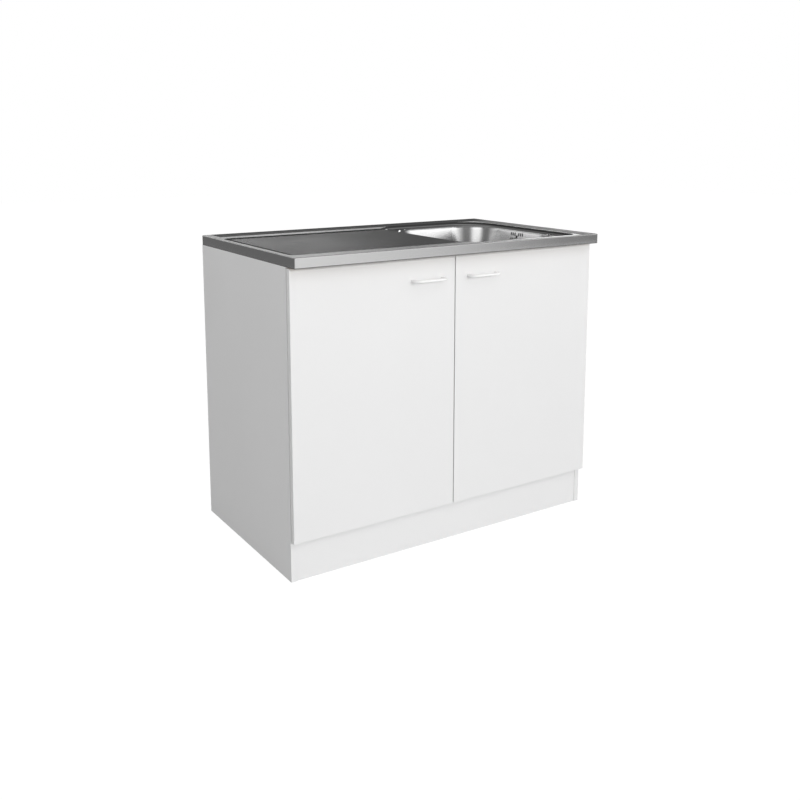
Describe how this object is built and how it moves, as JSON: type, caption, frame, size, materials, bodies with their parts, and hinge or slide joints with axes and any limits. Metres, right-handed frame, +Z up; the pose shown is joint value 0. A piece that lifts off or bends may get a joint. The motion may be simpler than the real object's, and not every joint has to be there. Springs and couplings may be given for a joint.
{
  "type": "kitchen sink unit",
  "caption": "White two-door kitchen base cabinet with closed plinth and bow handles, topped by a steel lay-on sink with drainer on the left, bowl on the right and waste trap inside.",
  "frame": {"origin": "on the floor, under the centre of the sink top's rectangular outline", "axes": "+X to the right for someone facing the doors, +Y to the wall behind the unit, +Z up"},
  "size_m": [1, 0.6, 0.848],
  "materials": {
    "white_board": "smooth white melamine on chipboard",
    "fibreboard": "thin white hardboard",
    "timber": "planed softwood",
    "beech": "fluted beech",
    "zinc_steel": "bright zinc plating",
    "nickel_steel": "nickel plating",
    "sink_steel": "fine brushed stainless steel",
    "drain_steel": "polished stainless steel",
    "white_plastic": "moulded white plastic",
    "dark_plastic": "moulded black plastic",
    "black_rubber": "matt",
    "damping": "matt bitumen felt",
    "white_metal": "white powder coat, slightly glossy",
    "soft_bumper": "translucent"
  },
  "bodies": {
    "cabinet": {"left_side_panel": "white_board", "right_side_panel": "white_board", "bottom_panel": "white_board", "plinth_board": "white_board", "front_rail": "white_board", "rear_rail": "white_board", "back_panel": "fibreboard", "carcass_dowels": "beech", "cam_bolts": "zinc_steel", "cam_locks": "zinc_steel", "front_strip": "timber", "rear_strip": "timber", "left_strip": "timber", "right_strip": "timber", "sink_angles": "zinc_steel", "damping_pad": "damping", "sink_top": "sink_steel", "sink_bowl": "sink_steel", "upper_seal": "black_rubber", "drain_flange": "drain_steel", "lower_seal": "black_rubber", "waste_body": "white_plastic", "clamp_screw": "drain_steel", "overflow_gasket": "black_rubber", "overflow_box": "dark_plastic", "overflow_drop_pipe": "white_plastic", "overflow_bend": "white_plastic", "overflow_cross_pipe": "white_plastic", "overflow_nut": "white_plastic", "tail_pipe": "white_plastic", "tail_nut": "white_plastic", "trap_bottle": "white_plastic", "trap_inlet_nut": "white_plastic", "trap_cup": "white_plastic", "outlet_nut": "white_plastic", "outlet_pipe": "white_plastic", "left_hinge_arms": "nickel_steel", "left_hinge_plates": "nickel_steel", "left_plate_screws": "zinc_steel", "right_hinge_arms": "nickel_steel", "right_hinge_plates": "nickel_steel", "right_plate_screws": "zinc_steel"},
    "left_door": {"left_door_panel": "white_board", "left_handle": "white_metal", "left_handle_screws": "zinc_steel", "left_hinge_cups": "nickel_steel", "left_hinge_pins": "nickel_steel", "left_cup_screws": "zinc_steel", "left_door_bumpers": "soft_bumper"},
    "right_door": {"right_door_panel": "white_board", "right_handle": "white_metal", "right_handle_screws": "zinc_steel", "right_hinge_cups": "nickel_steel", "right_hinge_pins": "nickel_steel", "right_cup_screws": "zinc_steel", "right_door_bumpers": "soft_bumper"},
    "basket": {"strainer_basket": "drain_steel", "basket_seal": "black_rubber"}
  },
  "joints": [
    {"name": "left_door_hinge", "type": "hinge", "parent": "cabinet", "child": "left_door", "pos_m": [-0.4925, -0.2615, 0.455], "axis": [0, 0, -1], "range_deg": [0, 95]},
    {"name": "right_door_hinge", "type": "hinge", "parent": "cabinet", "child": "right_door", "pos_m": [0.4925, -0.2615, 0.455], "axis": [0, 0, 1], "range_deg": [0, 95]},
    {"name": "basket_lift", "type": "slide", "parent": "cabinet", "child": "basket", "axis": [0, 0, 1], "range_m": [0, 0.2]}
  ]
}
